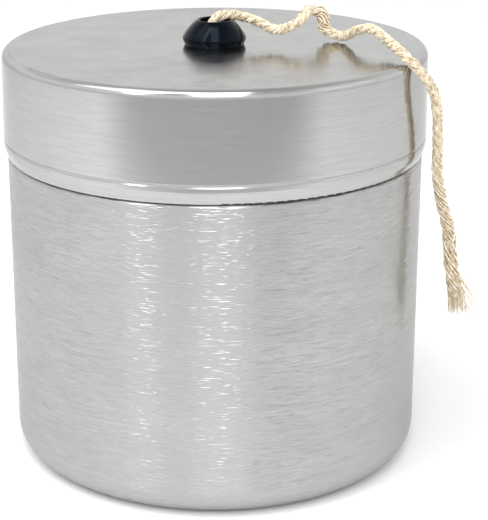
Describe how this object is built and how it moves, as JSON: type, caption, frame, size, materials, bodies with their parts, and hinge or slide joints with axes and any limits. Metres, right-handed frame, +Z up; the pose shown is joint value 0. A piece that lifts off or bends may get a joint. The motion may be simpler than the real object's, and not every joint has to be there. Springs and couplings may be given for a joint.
{
  "type": "twine dispenser",
  "caption": "Round brushed-steel canister with a slip-on lid and a rubber grommet, holding a wound ball of cotton twine that pays out through the lid.",
  "frame": {"origin": "centre of the canister's base, on the surface it stands on", "axes": "+Z up along the canister's axis; the twine hangs over the lid's edge on the +X side, a little towards -Y"},
  "size_m": [0.1036, 0.0956, 0.1027],
  "materials": {
    "canister_steel": "fine horizontal brushing",
    "lid_steel": "satin top, fine brushing on the skirt",
    "grommet_rubber": "smooth, glossy black",
    "cotton_twine": "unbleached cotton, twisted plies"
  },
  "bodies": {
    "canister": {"canister": "canister_steel", "twine_lead": "cotton_twine"},
    "lid": {"lid": "lid_steel", "grommet": "grommet_rubber", "twine_free_end": "cotton_twine"},
    "ball": {"twine_ball": "cotton_twine"}
  },
  "joints": [
    {"name": "lid_lift", "type": "slide", "parent": "canister", "child": "lid", "axis": [0, 0, 1], "range_m": [0, 0.06], "deforming": ["twine_lead"]},
    {"name": "ball_turn", "type": "hinge", "parent": "canister", "child": "ball", "pos_m": [0, 0, 0.001], "axis": [0, 0, 1], "continuous": true}
  ]
}
